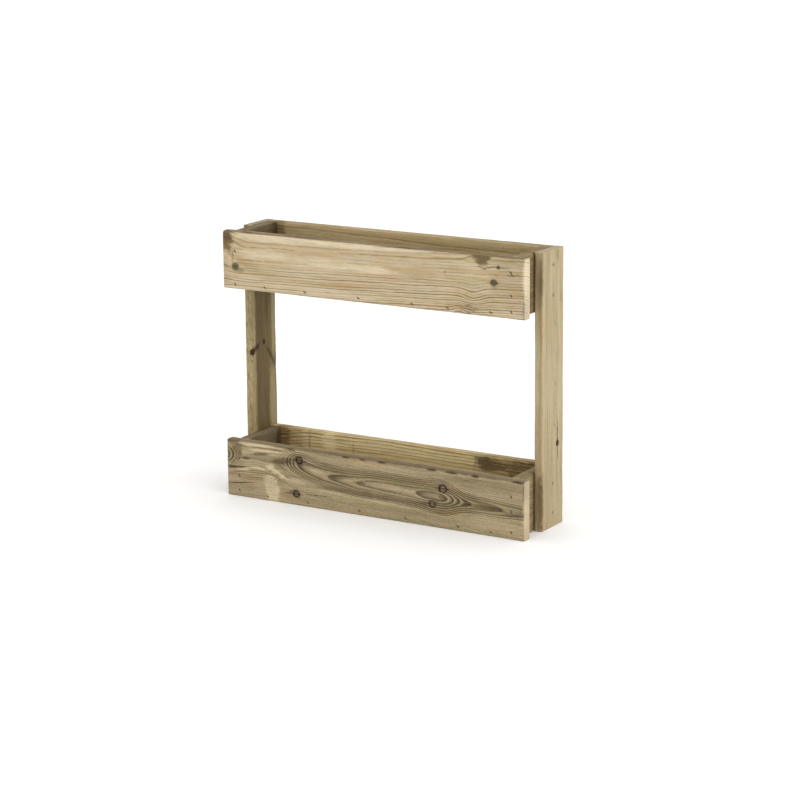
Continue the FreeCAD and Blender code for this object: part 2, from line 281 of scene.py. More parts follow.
# The left post's colours are darkened as painted shade for its inner face between the tiers; away lightens
# its outer face again.
LOOKS["left_post"] = look(
    axes=POST, light=(112, 95, 56), middle=(101, 83, 47), late=(73, 57, 28), contrast=0.6,
    heart=((0, 120, 60, 0), (560, 112, 60, 2)), pace=((0, 0), (190, 34)),
    knots=((292, 2, 5.6, 1.0, 0.95, 0.0, 7), (306, 43, 4.2, 1.0, 0.95, 0.0), (460, 60, 4, 0.4, 0.4, 0.3)),
    blots=(
        # The pale bands along the front edge, (280, 5) and (250, 3), are partly paler wood and partly
        # painted light on the front face.
        (168, 74, 108, 15, -0.8), (360, 80, 110, 9, -0.75), (280, 5, 400, 8, -1.1),
        (280, 40, 400, 26, 0.15), (430, 56, 90, 14, 0.3), (250, 3, 400, 3, -0.5), (298, 12, 16, 7, 0.9, 62),
        (280, 63, 24, 6, 0.5, -38), (256, 79, 24, 6, 0.6, -33),
    ),
    dirt=((262, 72, 16, 5, 0.35), (248, 86, 10, 5, 0.4)), pale=(166, 149, 110), end=(152, 140, 110),
    away=1.45,
    lines=(
        (298, 13, 18, 5.5, 0.9, 62), (294, 5, 9, 7, 0.8, 50), (306, 44, 5, 3.5, 0.7, 0),
        (284, 60, 16, 4.0, 0.4, -42), (268, 70, 26, 4.4, 0.42, -35), (247, 86, 12, 3.0, 0.7, -30),
        (296, 0, 22, 6, -0.5, 0), (352, 0, 24, 5, 0.35, 0), (378, 1, 16, 4, 0.3, 0),
        (318, 0, 6, 3, 0.4, 90), (272, 0, 6, 3, 0.4, 90), (150, 0, 40, 4, 0.22, 0),
        (180, 22, 60, 1.1, 0.3, 1), (350, 30, 80, 1.0, 0.35, 0), (240, 40, 60, 1.0, 0.3, 0),
    ),
)
LOOKS["right_post"] = look(
    axes=POST, light=(179, 163, 129), middle=(166, 149, 114), late=(131, 112, 78), contrast=0.4, mottle=0.7,
    heart=((0, 140, 60, 0), (560, 150, 60, 1)), pace=((0, 0), (60, 6), (200, 26)),
    knots=(
        (168, 65, 5.2, 1.0, 1.0, 0.0), (550, 62, 7, 0.1, 0.08, 0.8), (207, 52, 4, 0.12, 0.15, 0.0),
        (290, 55, 4, 0.15, 0.15, 0.2), (412, 55, 3, 0.15, 0.15, 0.2),
    ),
    blots=(
        # (280, -3) is painted shade over the whole front face, and (505, 0) and (55, 0) more painted shade
        # where the front boards' ends shade it.
        (60, 45, 110, 50, 0.14), (280, -3, 500, 6, 0.25), (505, 0, 60, 5, 0.22), (55, 0, 66, 5, 0.8),
        (330, 58, 60, 10, -0.3), (546, 66, 16, 3, 0.35), (150, 50, 100, 5, -0.5),
    ),
    dirt=((190, 65, 30, 3, 0.5), (145, 67, 16, 3, 0.35)), checks=((170, 65, 60, 3.4, 6, 0),),
    end=(172, 156, 126),
    lines=(
        (192, 65.5, 28, 1.9, 0.95, 0), (146, 65.5, 22, 1.7, 0.9, 0), (505, 0, 50, 1.6, 0.5, 0),
        (500, 4, 40, 1.2, 0.35, 0), (550, 62, 9, 1.4, 0.45, 40), (540, 66, 9, 1.2, 0.4, -30),
        (300, 57, 6, 1.3, 0.4, 30), (290, 55, 6, 1.3, 0.45, -30), (412, 55, 7, 1.2, 0.4, 20),
        (352, 56, 6, 1.2, 0.3, -20), (250, 55, 7, 1.3, 0.4, 35), (228, 53, 7, 1.2, 0.35, -35),
        (207, 52, 7, 1.3, 0.45, -40), (130, 45, 20, 1.0, 0.3, -25),
    ),
)

PLANK_ROUNDING = 3.0
ROUNDING_SHARES = (0.8, 0.5)  # the least share of it, and what noise adds
ROUNDING_CHANGE = 60
PITCH_ALONG = 2.6
PITCH_ACROSS = 2.2
EDGE_STEPS = (0, 1, 2, 3)  # grid lines at a plank's long edges
END_STEPS = (0, 0.5, 1.3, 2.6)  # and at its sawn ends
END_ARRIS = 0.5
SHARP_ANGLE = math.radians(38)
SEED_STEP = 101
NOISE_GAP = 1000  # keeps the noise of each plank apart
FAR = 1e9


# ---- Smooth noise, the same on each run ----


def scattered(cells, seed):
    """A number from 0 to 1 for each row of whole numbers, with no order to them."""
    mixed = np.full(len(cells), seed, np.uint64)
    for column in cells.T:
        mixed = (mixed ^ column.astype(np.int64).astype(np.uint64)) * np.uint64(0x9E3779B97F4A7C15)
        mixed ^= mixed >> np.uint64(29)
    return (mixed >> np.uint64(11)).astype(float) / 2**53


def smooth_noise(places, seed):
    """Noise from 0 to 1 that changes over about one unit of places."""
    places = np.stack(np.broadcast_arrays(*places), -1)
    cells = np.floor(places)
    share = places - cells
    share = share * share * (3 - 2 * share)
    total = np.zeros(len(places))
    for corner in itertools.product((0, 1), repeat=places.shape[1]):
        weight = np.prod(np.where(corner, share, 1 - share), axis=1)
        total += weight * scattered(cells + corner, seed)
    return total


TABLE_EASING = np.linspace(-14, 14, 9)  # mm either way of a place


def between(along, table, column):
    """A value along the grain from a table of stations, with its corners smoothed."""
    table = np.array(table, float)
    near = [np.interp(along + step, table[:, 0], table[:, column]) for step in TABLE_EASING]
    return np.mean(near, axis=0)


def bump(value, middle, half):
    """1 at middle, fading to little one half away."""
    return np.exp(-(((value - middle) / half) ** 2))


def smooth_step(value, low, high):
    """From 0 at low to 1 at high, eased at both."""
    share = np.clip((value - low) / (high - low), 0, 1)
    return share * share * (3 - 2 * share)


# ---- One plank ----


class Plank:
    """A plank's place, its look, and the way between the row frame and (along, across, depth)."""

    def __init__(self, name, number):
        self.name = name
        self.seed = SEED_STEP * (number + 1)
        self.shift = NOISE_GAP * (number + 1)
        self.look = LOOKS[name]
        self.grain, self.across, self.through, self.shown = self.look["axes"]
        low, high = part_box(name)
        self.low = np.array(low) / MM
        self.high = np.array(high) / MM
        self.width = self.high[self.across] - self.low[self.across]
        self.thickness = self.high[self.through] - self.low[self.through]
        self.start = self.low[self.grain]
        self.stop = self.high[self.grain]
        self.face = (self.high if self.shown > 0 else self.low)[self.through]
        self.random = np.random.default_rng(self.seed)

    def to_row(self, places):
        row = np.empty_like(places)
        row[:, self.grain] = places[:, 0]
        row[:, self.across] = self.low[self.across] + places[:, 1]
        row[:, self.through] = self.face - self.shown * places[:, 2]
        return row

    def from_row(self, row):
        places = np.empty_like(row)
        places[:, 0] = row[:, self.grain]
        places[:, 1] = row[:, self.across] - self.low[self.across]
        places[:, 2] = self.shown * (self.face - row[:, self.through])
        return places

    def mirrored(self):
        """Whether the way to the row frame turns faces inside out."""
        order = (self.grain, self.across, self.through)
        turned = order in ((0, 2, 1), (1, 0, 2), (2, 1, 0))
        return turned != (self.shown > 0)


def grid_lines(low, high, pitch, steps):
    """Grid lines from low to high, pitch apart, with these steps from either end."""
    first = [low + step for step in steps]
    last = [high - step for step in reversed(steps)]
    count = max(1, round((last[0] - first[-1]) / pitch))
    return np.concatenate((first[:-1], np.linspace(first[-1], last[0], count + 1), last[1:]))


def grid_shell(lines):
    """The surface of a block of grid points: the points, and quads that face outwards."""
    shape = [len(line) for line in lines]
    skin = np.ones(shape, bool)
    skin[1:-1, 1:-1, 1:-1] = False
    number = np.full(shape, -1)
    number[skin] = np.arange(np.count_nonzero(skin))
    points = np.stack(np.meshgrid(*lines, indexing="ij"), -1)[skin]
    quads = []
    for axis in range(3):
        for end in (0, -1):
            face = np.take(number, end, axis)
            corners = (face[:-1, :-1], face[1:, :-1], face[1:, 1:], face[:-1, 1:])
            quad = np.stack(corners, -1).reshape(-1, 4)
            quads.append(quad[:, ::-1] if (end == 0) != (axis == 1) else quad)
    return points, np.concatenate(quads)


def round_long_edges(plank, points):
    """The block's points with its long edges rounded, and its sawn ends slightly broken."""
    along = points[:, 0]
    least, more = ROUNDING_SHARES
    noise = smooth_noise((along / ROUNDING_CHANGE, 0 * along), plank.seed)
    radius = PLANK_ROUNDING * (least + more * noise)
    to_end = np.minimum(along - plank.start, plank.stop - along)
    inset = END_ARRIS * (1 - np.clip(to_end / END_ARRIS, 0, 1))
    half = np.array((plank.width, plank.thickness)) / 2
    centred = points[:, 1:] - half
    nearest = np.clip(centred, -(half - radius[:, None]), half - radius[:, None])
    out = centred - nearest
    reach = np.hypot(out[:, 0], out[:, 1])
    square = np.abs(out).max(1)
    out *= np.divide(square, reach, out=np.ones_like(reach), where=reach > 0)[:, None]
    rounded = (nearest + out) * (1 - inset[:, None] / half)
    return np.column_stack((along, rounded + half))


KNOT_LEAN = 0.35  # the most that a knot leans along the plank as it goes deep
KNOT_SLANT = 0.25  # and across it
KNOT_STRETCH = 1.12  # how much longer than wide a knot is
KNOT_GAP = 7.3  # keeps the noise of each knot apart
NO_KNOT = 50  # knot radii
KNOT_PULL = 0.55  # how far a knot draws the rings round it
KNOT_PULL_REACH = (1.6, 1.25)  # in its radii, along and across


def knot_offsets(plank, places):
    """For each place, how far the nearest knot's middle is in knot radii, and the knot's own look."""
    best = np.full(len(places), FAR)
    offset = np.zeros((len(places), 3))
    offset[:, 0] = NO_KNOT
    tones = np.zeros((len(places), 3))
    for index, (along, across, radius, rim, core, green, *deep) in enumerate(plank.look["knots"]):
        lean = KNOT_LEAN * math.sin(5.1 * index + plank.seed)
        slant = KNOT_SLANT * math.cos(3.7 * index + plank.seed)
        x = (places[:, 0] - along - lean * places[:, 2]) / (KNOT_STRETCH * radius)
        y = (places[:, 1] - across - slant * places[:, 2]) / radius
        if deep:
            y = np.hypot(y, places[:, 2] / deep[0])
        reach = np.hypot(x, y)
        nearer = reach * radius < best
        best[nearer] = (reach * radius)[nearer]
        offset[nearer] = np.column_stack((x, y, np.full(len(x), KNOT_GAP * index)))[nearer]
        tones[nearer] = (rim, core, green)
    return offset, tones


def ring_count(plank, places):
    """The number of yearly rings at each place, so that whole numbers lie where one ring ends."""
    along, across, depth = places.T
    line = across.copy()
    for x, y, length, width, push in plank.look["shifts"]:
        line -= push * bump(along, x, length) * bump(across, y, width)
    far_along, far_across = KNOT_PULL_REACH
    for x, y, radius, *_ in plank.look["knots"]:
        pull = KNOT_PULL * bump(along, x, far_along * radius) * bump(across, y, far_across * radius)
        line -= pull * (line - y)
    heart = [(*station, 1.0)[:5] for station in plank.look["heart"]]
    middle, below, rings, spread = (between(along, heart, column) for column in range(1, 5))
    reach = np.hypot((line - middle) / spread, depth + below) - below
    pace = np.array(plank.look["pace"], float)
    count = rings - np.interp(reach, pace[:, 0], pace[:, 1])
    for x, y, size, more in plank.look["hills"]:
        near = np.clip(1 - np.hypot(along - x, across - y) / size, 0, 1)
        count += more * near * smooth_step(near, 0, 0.3)
    return count


BLOB_SEEDS = {"dirt": 4, "blots": 6, "calm": 8}
BLOB_RAGGED = 0.45
BLOB_FADE = (0.45, 1.25)
BLOB_DEPTH = 20


def blobs(plank, places, kind):
    """The sum of a look's stains and painted light, calm or dirt at each place, with ragged borders."""
    along, across, depth = places.T
    ragged = smooth_noise((along / 9, across / 3, depth / 4), plank.seed + BLOB_SEEDS[kind]) - 0.5
    total = np.zeros(len(places))
    for x, y, length, width, strength, *degrees in plank.look[kind]:
        angle = math.radians(degrees[0]) if degrees else 0.0
        ahead = (along - x) * math.cos(angle) + (across - y) * math.sin(angle)
        aside = (across - y) * math.cos(angle) - (along - x) * math.sin(angle)
        reach = np.hypot(ahead / length, aside / width) + BLOB_RAGGED * ragged
        total += strength * (1 - smooth_step(reach, *BLOB_FADE)) * np.exp(-depth / BLOB_DEPTH)
    return total


# Wear, in mm of wood gone
PLANED_WAVES = 0.10
PLANED_NIBS = 0.06
EDGE_WEAR = 0.5
EDGE_REACH = 4
CHIP_SPACING = 60
CHIP_LENGTHS = (1.5, 7)
CHIP_SIZES = (0.15, 0.75)
CHIP_REACH = 3
KNOT_GROOVE = 0.22
KNOT_HOLLOW = 0.12
DIRT_HOLLOW = 0.9


def chips(plank, along, to_edge, edge):
    """How much small chips take off the plank's four long edges."""
    gone = np.zeros(len(along))
    for corner in range(4):
        for _ in range(int((plank.stop - plank.start) / CHIP_SPACING)):
            place = plank.random.uniform(plank.start, plank.stop)
            length = plank.random.uniform(*CHIP_LENGTHS)
            size = plank.random.uniform(*CHIP_SIZES)
            gone += size * bump(along, place, length) * bump(to_edge, 0, CHIP_REACH) * (edge == corner)
    return gone


def wear(plank, places):
    """How much wood is gone at each place."""
    along, across, depth = places.T
    seed = plank.seed
    to_side = np.minimum(across, plank.width - across)
    to_face = np.minimum(depth, plank.thickness - depth)
    to_edge = np.hypot(to_side, to_face)
    edge = 2.0 * (across > plank.width / 2) + (depth > plank.thickness / 2)
    gone = PLANED_WAVES * smooth_noise((along / 30, across / 6, depth / 6), seed + 1)
    gone += PLANED_NIBS * smooth_noise((along / 7, across / 2.6, depth / 2.6), seed + 2)
    ragged = smooth_noise((along / 26, 9 * edge), seed + 3)
    gone += EDGE_WEAR * ragged**3 * bump(to_edge, 0, EDGE_REACH)
    gone += chips(plank, along, to_edge, edge)
    offset, tones = knot_offsets(plank, places)
    reach = np.hypot(offset[:, 0], offset[:, 1])
    groove = KNOT_GROOVE * bump(reach, 1, 0.3)
    gone += tones[:, 0] * (groove + KNOT_HOLLOW * (1 - smooth_step(reach, 0.6, 1)))
    dirty = np.clip(blobs(plank, places, "dirt"), 0, 1)
    gone += DIRT_HOLLOW * dirty * (0.6 + 0.8 * smooth_noise((along / 5, across / 3), seed + 5))
    return np.maximum(gone, 0)


def mesh_object(name, points, faces):
    """A new object from points in mm and their faces."""
    mesh = bpy.data.meshes.new(name)
    mesh.from_pydata((np.asarray(points) * MM).tolist(), [], [list(map(int, face)) for face in faces])
    mesh.update()
    made = bpy.data.objects.new(name, mesh)
    bpy.context.scene.collection.objects.link(made)
    return made


def coordinates(mesh):
    """The mesh's points in mm."""
    flat = np.empty(len(mesh.vertices) * 3)
    mesh.vertices.foreach_get("co", flat)
    return flat.reshape(-1, 3) / MM


def plank_object(plank):
    """The plank as a dense mesh with rounded, worn edges."""
    lines = (
        grid_lines(plank.start, plank.stop, PITCH_ALONG, END_STEPS),
        grid_lines(0, plank.width, PITCH_ACROSS, EDGE_STEPS),
        grid_lines(0, plank.thickness, PITCH_ACROSS, EDGE_STEPS),
    )
    points, quads = grid_shell(lines)
    places = round_long_edges(plank, points)
    if plank.mirrored():
        quads = quads[:, ::-1]
    made = mesh_object(plank.name + "_wood", plank.to_row(places), quads)
    mesh = made.data
    normals = np.empty(len(mesh.vertices) * 3)
    mesh.vertex_normals.foreach_get("vector", normals)
    worn = coordinates(mesh) - wear(plank, places)[:, None] * normals.reshape(-1, 3)
    mesh.vertices.foreach_set("co", (worn * MM).ravel())
    mesh.update()
    return made


# ---- Cuts for fasteners, drain holes and drying checks ----

ABOVE = 1.5  # how far a cutting shape stands out of the wood
SLOT_LEVELS = ((-ABOVE, 6.9, 2.0), (0, 6.9, 2.0), (2.6, 6.3, 1.4))  # depth, length, width
SLOT_OUTLINE = ((-1, -0.6), (-0.85, -1), (0.85, -1), (1, -0.6), (1, 0.6), (0.85, 1), (-0.85, 1), (-1, 0.6))
HEAD_HOLE = ((4.9, -ABOVE), (4.75, 0), (4.35, 0.5), (4.3, 1.0), (2.15, 3.2), (2.1, 6))  # radius, depth
HOLE_SIDES = 28
DRAIN_RADIUS = 5.0
DRAIN_SHARES = (-0.75, -0.25, 0.25, 0.75)
DRAIN_EDGE = (0.5, 0.7)  # how much wider the hole is at its top, and how far down
CHECK_POINTS = 15
CHECK_LEVELS = ((-ABOVE, 1.0), (0.0, 1.0))  # depth, share of its width
CHECK_ROOT = 0.12
GROUP_REACH = 12  # from one point of a fastener to any other of its points
STAPLE_MARK = (3.4, 1.6)  # half the length and half the width of the stain round it
SCREW_MARK = (3.6, 3.6)
MARK_DEPTH = 9


def fasteners(node, drive_axis):
    """The middle of each fastener of a CAD node, and the way its crown lies."""
    vertices = coordinates(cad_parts[node].data)
    found = []
    while len(vertices):
        flat = np.delete(vertices, drive_axis, axis=1)
        near = np.hypot(*(flat - flat[0]).T) < GROUP_REACH
        own = vertices[near]
        middle = (own.min(0) + own.max(0)) / 2
        spread = np.delete(own - middle, drive_axis, axis=1)
        crown = np.linalg.svd(spread, full_matrices=False)[2][0]
        found.append((middle, np.insert(crown, drive_axis, 0)))
        vertices = vertices[~near]
    return found


def stack(rings):
    """A closed solid through rings of points, all with the same number of points."""
    count = len(rings[0])
    points = np.concatenate(rings)
    faces = [tuple(range(count)), tuple(range(len(points) - count, len(points)))[::-1]]
    for level in range(len(rings) - 1):
        for index in range(count):
            after = (index + 1) % count
            low = level * count
            faces.append((low + index, low + count + index, low + count + after, low + after))
    return points, faces


def slot_cutter(surface, drive, crown):
    """A tapered slot where a staple went in."""
    side = np.cross(drive, crown)
    rings = []
    for depth, length, width in SLOT_LEVELS:
        middle = surface + drive * depth
        ring = [middle + crown * a * length / 2 + side * b * width / 2 for a, b in SLOT_OUTLINE]
        rings.append(np.array(ring))
    return stack(rings)


def round_cutter(surface, drive, outline):
    """A turned hole, with an outline of (radius, depth)."""
    first = np.cross(drive, (0.3, 0.5, 0.8))
    first /= np.linalg.norm(first)
    second = np.cross(drive, first)
    turns = np.linspace(0, 2 * np.pi, HOLE_SIDES, endpoint=False)[:, None]
    circle = np.cos(turns) * first + np.sin(turns) * second
    return stack([surface + drive * depth + circle * radius for radius, depth in outline])


def check_cutter(plank, check):
    """A crack along the grain: a thin, slightly winding wedge."""
    along, across, length, width, depth, rise = check
    shares = np.linspace(0, 1, CHECK_POINTS)
    half = 0.5 * width * np.sin(np.pi * shares) ** 0.8 + 0.02
    wind = 0.35 * width * np.sin(shares * 9 + along) + rise * length * (shares - 0.5)
    x = along + (shares - 0.5) * length
    rings = []
    for level, share in (*CHECK_LEVELS, (depth, CHECK_ROOT)):
        deep = np.full(CHECK_POINTS, level)
        upper = np.column_stack((x, across + wind + half * share, deep))
        lower = np.column_stack((x, across + wind - half * share, deep))
        rings.append(plank.to_row(np.concatenate((upper, lower[::-1]))))
    return stack(rings)


def cut(piece, cutters):
    """Takes all of these closed shapes out of the piece."""
    points = []
    faces = []
    for own_points, own_faces in cutters:
        start = len(points)
        points.extend(own_points)
        faces.extend([tuple(start + index for index in face) for face in own_faces])
    tool = mesh_object("tool", points, faces)
    shape = bmesh.new()
    shape.from_mesh(tool.data)
    bmesh.ops.recalc_face_normals(shape, faces=shape.faces)
    shape.to_mesh(tool.data)
    shape.free()
    modifier = piece.modifiers.new("cut", "BOOLEAN")
    modifier.operation = "DIFFERENCE"
    modifier.solver = "EXACT"
    modifier.object = tool
    with bpy.context.temp_override(object=piece, active_object=piece, selected_objects=[piece]):
        bpy.ops.object.modifier_apply(modifier=modifier.name)
    bpy.data.objects.remove(tool)


def staple_cuts(plank):
    """The slots in a front or back board, and the marks round them."""
    level, face, _ = plank.name.split("_")
    inwards = 1.0 if face == "front" else -1.0
    drive = np.array((0.0, inwards, 0.0))
    surface_y = plank.low[1] if face == "front" else plank.high[1]
    cutters = []
    marks = []
    for group in ("end_staples", "base_staples"):
        for middle, crown in fasteners(f"{level}_{face}_{group}", 1):
            surface = np.array((middle[0], surface_y, middle[2]))
            cutters.append(slot_cutter(surface, drive, crown))
            marks.append((surface, drive, crown, *STAPLE_MARK))
    return cutters, marks


def screw_cuts(plank):
    """The screw holes in a post, and the marks round them."""
    side_name = plank.name.split("_")[0]
    side = 1 if side_name == "right" else -1
    drive = np.array((-1.0 * side, 0.0, 0.0))
    upright = np.array((0.0, 0.0, 1.0))
    outer_x = plank.high[0] if side > 0 else plank.low[0]
    cutters = []
    marks = []
    for level in ("upper", "lower"):
        for middle, _ in fasteners(f"{level}_{side_name}_post_screws", 0):
            surface = np.array((outer_x, middle[1], middle[2]))
            cutters.append(round_cutter(surface, drive, HEAD_HOLE))
            marks.append((surface, drive, upright, *SCREW_MARK))
    return cutters, marks


def drain_cuts(plank):
    """The drain holes in a base."""
    wider, down = DRAIN_EDGE
    rim = DRAIN_RADIUS + wider
    outline = ((rim, -ABOVE), (rim, 0), (DRAIN_RADIUS, down), (DRAIN_RADIUS, plank.thickness + ABOVE))
    cutters = []
    for share in DRAIN_SHARES:
        top = np.array((share * plank.stop, 0.0, plank.high[2]))
        cutters.append(round_cutter(top, np.array((0.0, 0.0, -1.0)), outline))
    return cutters


def plank_cuts(plank):
    """What is cut out of a plank, and the marks round its fasteners, in the row frame."""
    cutters = []
    marks = []
    if plank.name.endswith(("front_board", "back_board")):
        cutters, marks = staple_cuts(plank)
    if plank.name.endswith("post"):
        cutters, marks = screw_cuts(plank)
    if plank.name.endswith("base_board"):
        cutters = drain_cuts(plank)
    for check in plank.look["checks"]:
        cutters.append(check_cutter(plank, check))
    return cutters, marks


# ---- What the materials read from a plank ----

RIM_BAND = (2.5, 0.6)  # from a plank's upper edge
SAWN_DEPTH = 0.4


def write(mesh, name, values):
    """A number or a vector for each point of the mesh."""
    kind = "FLOAT" if values.ndim == 1 else "FLOAT_VECTOR"
    made = mesh.attributes.new(name, kind, "POINT")
    made.data.foreach_set("value" if values.ndim == 1 else "vector", values.astype(np.float32).ravel())


def nearest_mark(row, marks):
    """For each place, where it lies from the nearest fastener's mark, in the mark's own sizes."""
    best = np.full(len(row), FAR)
    mark = np.full((len(row), 3), 50.0)
    for surface, drive, crown, half_length, half_width in marks:
        side = np.cross(drive, crown)
        away = row - surface
        own = (away @ crown / half_length, away @ side / half_width, away @ drive / MARK_DEPTH)
        reach = np.linalg.norm(away, axis=1)
        nearer = reach < best
        best[nearer] = reach[nearer]
        mark[nearer] = np.column_stack(own)[nearer]
    return mark


def write_attributes(plank, mesh, marks):
    """Where every point lies in its plank, and what the plank's look has there."""
    row = coordinates(mesh)
    places = plank.from_row(row)
    rim_low, rim_high = RIM_BAND
    # Stains and paler wood, painted shade and painted light in places, and the browner upper edge
    blot = blobs(plank, places, "blots")
    blot += plank.look["rim"] * smooth_step(places[:, 1], plank.width - rim_low, plank.width - rim_high)
    offset, tones = knot_offsets(plank, places)
    to_end = np.minimum(places[:, 0] - plank.start, plank.stop - places[:, 0])
    write(mesh, "board", places + (0, plank.shift, 0))
    write(mesh, "growth", ring_count(plank, places))
    write(mesh, "knot", offset)
    write(mesh, "knot_tone", tones)
    write(mesh, "mark", nearest_mark(row, marks))
    write(mesh, "blot", blot)
    write(mesh, "calm", blobs(plank, places, "calm"))
    write(mesh, "dirt", blobs(plank, places, "dirt"))
    write(mesh, "sawn", (to_end < SAWN_DEPTH).astype(float))


# ---- Materials ----


class Shader:
    """A material, and short ways to add nodes to it."""

    def __init__(self, name):
        self.material = bpy.data.materials.new(name)
        self.material.use_nodes = True
        self.tree = self.material.node_tree
        self.surface = self.tree.nodes["Principled BSDF"]

    def node(self, kind, **settings):
        made = self.tree.nodes.new("ShaderNode" + kind)
        for name, value in settings.items():
            setattr(made, name, value)
        return made

    def feed(self, socket, value):
        if isinstance(value, bpy.types.NodeSocket):
            self.tree.links.new(value, socket)
        else:
            socket.default_value = value

    def fill(self, node, values):
        """The node with these values in its sockets of those names or numbers."""
        for name, value in values.items():
            self.feed(node.inputs[name], value)
        return node

    def made(self, kind, values, **settings):
        return self.fill(self.node(kind, **settings), values)

    def result(self, kind, *values, **settings):
        """What a new node gives for these values in its first sockets."""
        return self.made(kind, dict(enumerate(values)), **settings).outputs[0]

    def math(self, operation, *values):
        return self.result("Math", *values, operation=operation)

    def add(self, *values):
        total = values[0]
        for value in values[1:]:
            total = self.math("ADD", total, value)
        return total

    def times(self, *values):
        total = values[0]
        for value in values[1:]:
            total = self.math("MULTIPLY", total, value)
        return total

    def limited(self, value):
        return self.math("MINIMUM", self.math("MAXIMUM", value, 0.0), 1.0)

    def ramp(self, value, low, high, start=0.0, end=1.0):
        """From start at low to end at high, eased at both."""
        return self.result("MapRange", value, low, high, start, end, interpolation_type="SMOOTHSTEP")

    def attribute(self, name, output):
        return self.node("Attribute", attribute_name=name).outputs[output]

    def scaled(self, place, *factors):
        return self.result("VectorMath", place, factors, operation="MULTIPLY")

    def add_vectors(self, first, second):
        return self.result("VectorMath", first, second, operation="ADD")

    def vector_of(self, *values):
        return self.result("CombineXYZ", *values)

    def parts_of(self, vector):
        return self.made("SeparateXYZ", {0: vector}).outputs

    def length(self, vector):
        return self.made("VectorMath", {0: vector}, operation="LENGTH").outputs["Value"]

    def turned(self, place, angle):
        """The place turned about the way through the plank."""
        values = {"Vector": place, "Angle": angle}
        return self.made("VectorRotate", values, rotation_type="Z_AXIS").outputs[0]

    def noise(self, place, detail=2.0, roughness=0.5):
        values = {"Vector": place, "Scale": 1.0, "Detail": detail, "Roughness": roughness}
        return self.made("TexNoise", values).outputs[0]

    def noise_along(self, value):
        values = {"W": value, "Scale": 1.0, "Detail": 1.0}
        return self.made("TexNoise", values, noise_dimensions="1D").outputs[0]

    def mix(self, share, first, second, blend="MIX"):
        values = {0: share, 6: first, 7: second}
        return self.made("Mix", values, data_type="RGBA", blend_type=blend).outputs[2]

    def brighten(self, colour, factor):
        values = {0: colour[:3] if isinstance(colour, tuple) else colour, "Scale": factor}
        return self.made("VectorMath", values, operation="SCALE").outputs[0]

    def relief(self, height, strength, distance):
        """Bumps of that height, with the distance in mm."""
        bumps = self.made("Bump", {"Height": height, "Strength": strength, "Distance": distance * MM})
        self.fill(self.surface, {"Normal": bumps.outputs[0]})


KNOT_RIM = linear(42, 27, 15)
KNOT_CORE = linear(72, 46, 27)
KNOT_PALE = linear(166, 146, 116)
KNOT_GREEN = linear(102, 100, 74)
BARK = linear(104, 86, 56)
MARK_DARK = linear(64, 54, 38)
RUST = linear(112, 74, 46)

# Colours that what lies under them is multiplied by
BROWN = (0.34, 0.265, 0.16, 1.0)
STROKE = (0.22, 0.155, 0.095, 1.0)
GREEN_TINT = (0.86, 0.94, 0.72, 1.0)
RED_TINT = (1.0, 0.88, 0.76, 1.0)
GRIME = (0.66, 0.62, 0.55, 1.0)

STREAK_ANGLE = math.radians(-18)
STROKE_DEPTH = 14
MOST_CONTRAST = 0.97

# The lengths in mm, along the grain and across it, over which each kind of noise changes
GRAIN = {
    "wave": (150, 15),
    "ripple": (24, 4),
    "tone": (210, 13),
    "green": (160, 17),
    "red": (120, 21),
    "streak": (7, 1.2),
    "shade": (70, 3.2),
    "fibre": (13, 0.55),
    "canal": (11, 0.9),
    "grime": (55, 12),
    "ragged": (9, 2.2),
    "flakes": (5, 1.6),
}


class Pine(Shader):
    """Treated pine: yearly rings with a dark late edge, fibres, knots, stains, tinted patches, and painted
    light and shade.
    """

    def __init__(self, plank):
        super().__init__(plank.name + "_pine")
        self.plank = plank
        self.look = plank.look
        self.late_colour = linear(*self.look["late"])
        self.pale_colour = linear(*(self.look["pale"] or self.look["light"]))
        self.place = self.attribute("board", "Vector")
        self.blot = self.attribute("blot", "Fac")

    def grain(self, kind, detail, roughness=0.5, place=None):
        """Noise of a kind named in GRAIN."""
        along, across = GRAIN[kind]
        place = self.scaled(place or self.place, 1 / along, 1 / across, 1 / across)
        return self.noise(place, detail, roughness)

    def centred(self, value):
        return self.add(value, -0.5)

    def cover(self, share, colour, blend="MIX"):
        self.colour = self.mix(share, self.colour, colour, blend)

    def shade(self, factor):
        self.colour = self.brighten(self.colour, factor)

    def strokes(self, place, lines):
        """How strongly thin marks show at a place, each fading towards its ends and sides."""
        shown = 0.0
        for along, across, half_length, half_width, tone, degrees in lines:
            own = self.turned(self.add_vectors(place, (-along, -across, 0)), math.radians(-degrees))
            reach = self.length(self.scaled(own, 1 / half_length, 1 / half_width, 1 / STROKE_DEPTH))
            shown = self.math("MAXIMUM", shown, self.ramp(reach, 0.3, 1.05, abs(tone), 0.0))
        return shown


def find_rings(s):
    """Rings, uneven in width and darkness, and what lies outside the heartwood."""
    wander = s.look["wander"]
    wave = s.grain("wave", 2)
    s.ripple = s.grain("ripple", 2)
    straying = s.times(s.centred(wave), 1.5 * wander)
    shaking = s.times(s.centred(s.ripple), 0.5 * wander)
    count = s.add(s.attribute("growth", "Fac"), straying, shaking)
    s.uneven = s.noise_along(s.times(count, 0.43))
    count = s.add(count, s.times(s.centred(s.uneven), 1.5 * wander))
    share = s.math("FRACT", count)
    year = s.made("TexWhiteNoise", {"W": s.math("FLOOR", count)}, noise_dimensions="1D")
    strength = s.ramp(year.outputs[0], 0, 1, s.look["faintest"], 1.0)
    fading = s.ramp(share, 0.1, s.look["band"], 1.0, 0.0)
    s.late = s.times(s.ramp(share, 0.0, 0.07), fading, strength)
    ring, s.heart_tone = s.look["heartwood"]
    s.outside = s.ramp(count, ring - 0.1, ring + 0.05, 1.0, 0.0)


